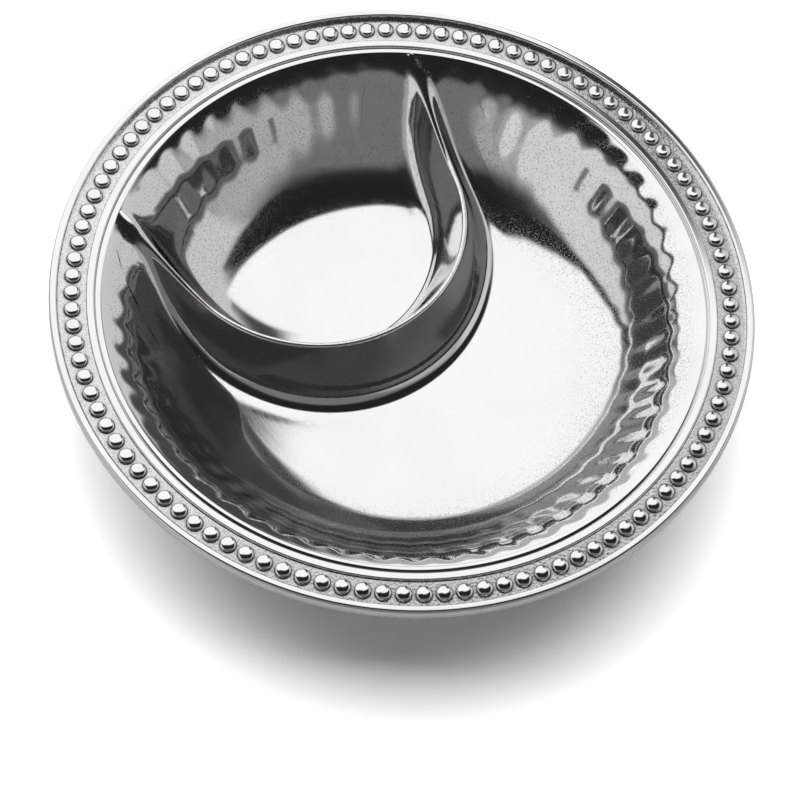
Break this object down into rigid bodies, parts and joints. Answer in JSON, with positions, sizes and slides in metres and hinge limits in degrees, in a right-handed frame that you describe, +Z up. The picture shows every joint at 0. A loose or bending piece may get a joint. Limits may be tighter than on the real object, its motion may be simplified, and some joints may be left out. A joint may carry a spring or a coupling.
{
  "type": "chip and dip platter",
  "caption": "Round polished cast metal platter with a beaded rim, a fluted wall and a curved divider that walls off a dip well from the chip area.",
  "frame": {"origin": "centre of the foot ring, on the surface that the platter stands on", "axes": "+Z up along the axis of the bowl, +Y towards the dip well"},
  "size_m": [0.3402, 0.3402, 0.0669],
  "materials": {
    "polished_metal": "mirror polished casting with fine pits",
    "stippled_metal": "fine stippled ground",
    "cast_metal": "plain cast"
  },
  "bodies": {
    "root": {"bowl_shell": "polished_metal", "fluted_wall": "polished_metal", "foot_ring": "cast_metal", "rim_flange": "stippled_metal", "mouth_roll": "polished_metal", "inner_moulding": "polished_metal", "bead_row": "polished_metal", "outer_moulding": "polished_metal", "dip_divider": "polished_metal"}
  },
  "joints": []
}
